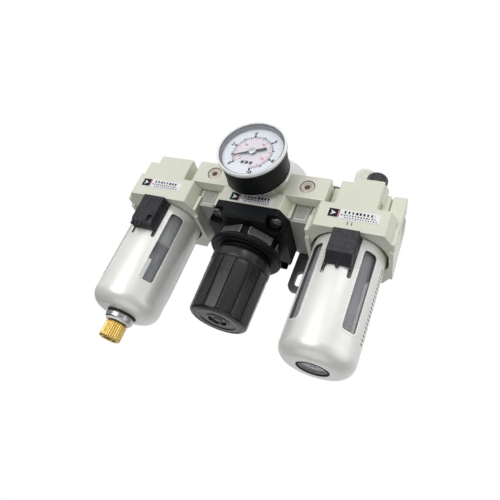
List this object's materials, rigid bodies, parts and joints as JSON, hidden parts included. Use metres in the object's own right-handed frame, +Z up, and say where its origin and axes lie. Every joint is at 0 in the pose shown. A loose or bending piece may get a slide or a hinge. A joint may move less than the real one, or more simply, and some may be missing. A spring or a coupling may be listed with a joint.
{
  "type": "filter regulator lubricator",
  "caption": "Modular air preparation unit: filter with drain, regulator with gauge and knob, and oil-mist lubricator clamped in a row, with guarded bowls and a slotted wall bracket.",
  "frame": {"origin": "on the port axis, in the middle of the regulator module", "axes": "+X from inlet to outlet along the port axis, -Y to the front with the gauge, +Z up; the bowls hang towards -Z"},
  "size_m": [0.181, 0.0827, 0.1658],
  "materials": {
    "cast_body": "satin enamel on die casting",
    "guard_metal": "pearl silver lacquer",
    "clear_plastic": "clear moulded polycarbonate",
    "black_plastic": "satin black moulding",
    "button_plastic": "grained black moulding",
    "aluminium": "die-cast, tumbled",
    "steel": "zinc-plated",
    "zinc": "plated, satin",
    "brass": "turned",
    "rubber": "matt",
    "white_plastic": "white moulding",
    "dial": "printed white dial"
  },
  "bodies": {
    "unit": {"filter_body": "cast_body", "filter_bowl_oring": "rubber", "swirl_deflector": "white_plastic", "filter_element": "white_plastic", "baffle": "black_plastic", "element_stud": "white_plastic", "regulator_body": "cast_body", "bonnet": "black_plastic", "bonnet_screw_1": "steel", "bonnet_screw_2": "steel", "bonnet_screw_3": "steel", "bonnet_screw_4": "steel", "panel_nut": "black_plastic", "pressure_spring": "steel", "valve_spring": "steel", "valve_cap": "white_plastic", "gauge_case": "black_plastic", "gauge_lens": "clear_plastic", "gauge_dial": "dial", "bourdon_tube": "brass", "gauge_stem": "brass", "lubricator_body": "cast_body", "lubricator_bowl_oring": "rubber", "sight_dome": "clear_plastic", "oil_tube": "clear_plastic", "oil_strainer": "zinc", "oil_manifold": "white_plastic", "flow_damper": "rubber", "spacer_left": "aluminium", "front_clamp_left": "cast_body", "front_clamp_screw_left": "zinc", "rear_clamp_left": "cast_body", "rear_clamp_screw_left": "zinc", "port_seal_left_inlet": "rubber", "port_seal_left_outlet": "rubber", "spacer_right": "aluminium", "front_clamp_right": "cast_body", "front_clamp_screw_right": "zinc", "wall_bracket": "steel", "rear_clamp_screw_right": "zinc", "port_seal_right_inlet": "rubber", "port_seal_right_outlet": "rubber"},
    "filter_bowl_set": {"filter_bowl_guard": "guard_metal", "filter_bowl": "clear_plastic", "drain_guide": "white_plastic", "drain_ring_nut": "zinc"},
    "filter_lock": {"filter_lock_button": "button_plastic"},
    "drain": {"drain_knob": "brass"},
    "screw": {"adjusting_screw": "brass"},
    "knob": {"adjusting_knob": "black_plastic"},
    "seat": {"spring_seat": "zinc"},
    "valve": {"diaphragm_plate": "zinc", "diaphragm": "rubber", "valve_poppet": "brass"},
    "pointer": {"gauge_pointer": "black_plastic"},
    "lubricator_bowl_set": {"lubricator_bowl_guard": "guard_metal", "lubricator_bowl": "clear_plastic"},
    "lubricator_lock": {"lubricator_lock_button": "button_plastic"},
    "plug": {"filler_plug": "black_plastic"},
    "dripper": {"drip_adjuster": "white_plastic"}
  },
  "joints": [
    {"name": "filter_bowl_turn", "type": "hinge", "parent": "unit", "child": "filter_bowl_set", "pos_m": [-0.064, 0, 0], "axis": [0, 0, 1], "range_deg": [-45, 45]},
    {"name": "filter_lock_slide", "type": "slide", "parent": "filter_bowl_set", "child": "filter_lock", "axis": [0, 0, -1], "range_m": [0, 0.004], "stiffness_N_per_m": 600, "springref_m": -0.003},
    {"name": "drain_knob_turn", "type": "hinge", "parent": "filter_bowl_set", "child": "drain", "pos_m": [-0.064, 0, 0], "axis": [0, 0, 1], "range_deg": [0, 270]},
    {"name": "knob_turn", "type": "hinge", "parent": "unit", "child": "screw", "pos_m": [0, 0, 0], "axis": [0, 0, 1], "range_deg": [0, 1440]},
    {"name": "knob_pull", "type": "slide", "parent": "screw", "child": "knob", "axis": [0, 0, -1], "range_m": [0, 0.0025]},
    {"name": "spring_seat_travel", "type": "slide", "parent": "unit", "child": "seat", "axis": [0, 0, 1], "range_m": [0, 0.006], "deforming": ["pressure_spring"]},
    {"name": "valve_lift", "type": "slide", "parent": "unit", "child": "valve", "axis": [0, 0, 1], "range_m": [0, 0.0012], "stiffness_N_per_m": 1500, "springref_m": -0.002, "deforming": ["valve_spring"]},
    {"name": "gauge_pointer_turn", "type": "hinge", "parent": "unit", "child": "pointer", "pos_m": [0, -0.046, 0.0015], "axis": [0, 1, 0], "range_deg": [-20, 280], "stiffness_Nm_per_rad": 0.0005},
    {"name": "lubricator_bowl_turn", "type": "hinge", "parent": "unit", "child": "lubricator_bowl_set", "pos_m": [0.064, 0, 0], "axis": [0, 0, 1], "range_deg": [-45, 45]},
    {"name": "lubricator_lock_slide", "type": "slide", "parent": "lubricator_bowl_set", "child": "lubricator_lock", "axis": [0, 0, -1], "range_m": [0, 0.004], "stiffness_N_per_m": 600, "springref_m": -0.003},
    {"name": "filler_plug_turn", "type": "hinge", "parent": "unit", "child": "plug", "pos_m": [0.0698, -0.0164, 0], "axis": [0, 0, 1], "range_deg": [0, 720]},
    {"name": "drip_adjuster_turn", "type": "hinge", "parent": "unit", "child": "dripper", "pos_m": [0.0592, -0.0015, 0], "axis": [0, 0, 1], "range_deg": [0, 360]}
  ],
  "couplings": [
    {"joint": "knob_turn", "follows": "spring_seat_travel", "rad_per_m": 4188.8}
  ]
}
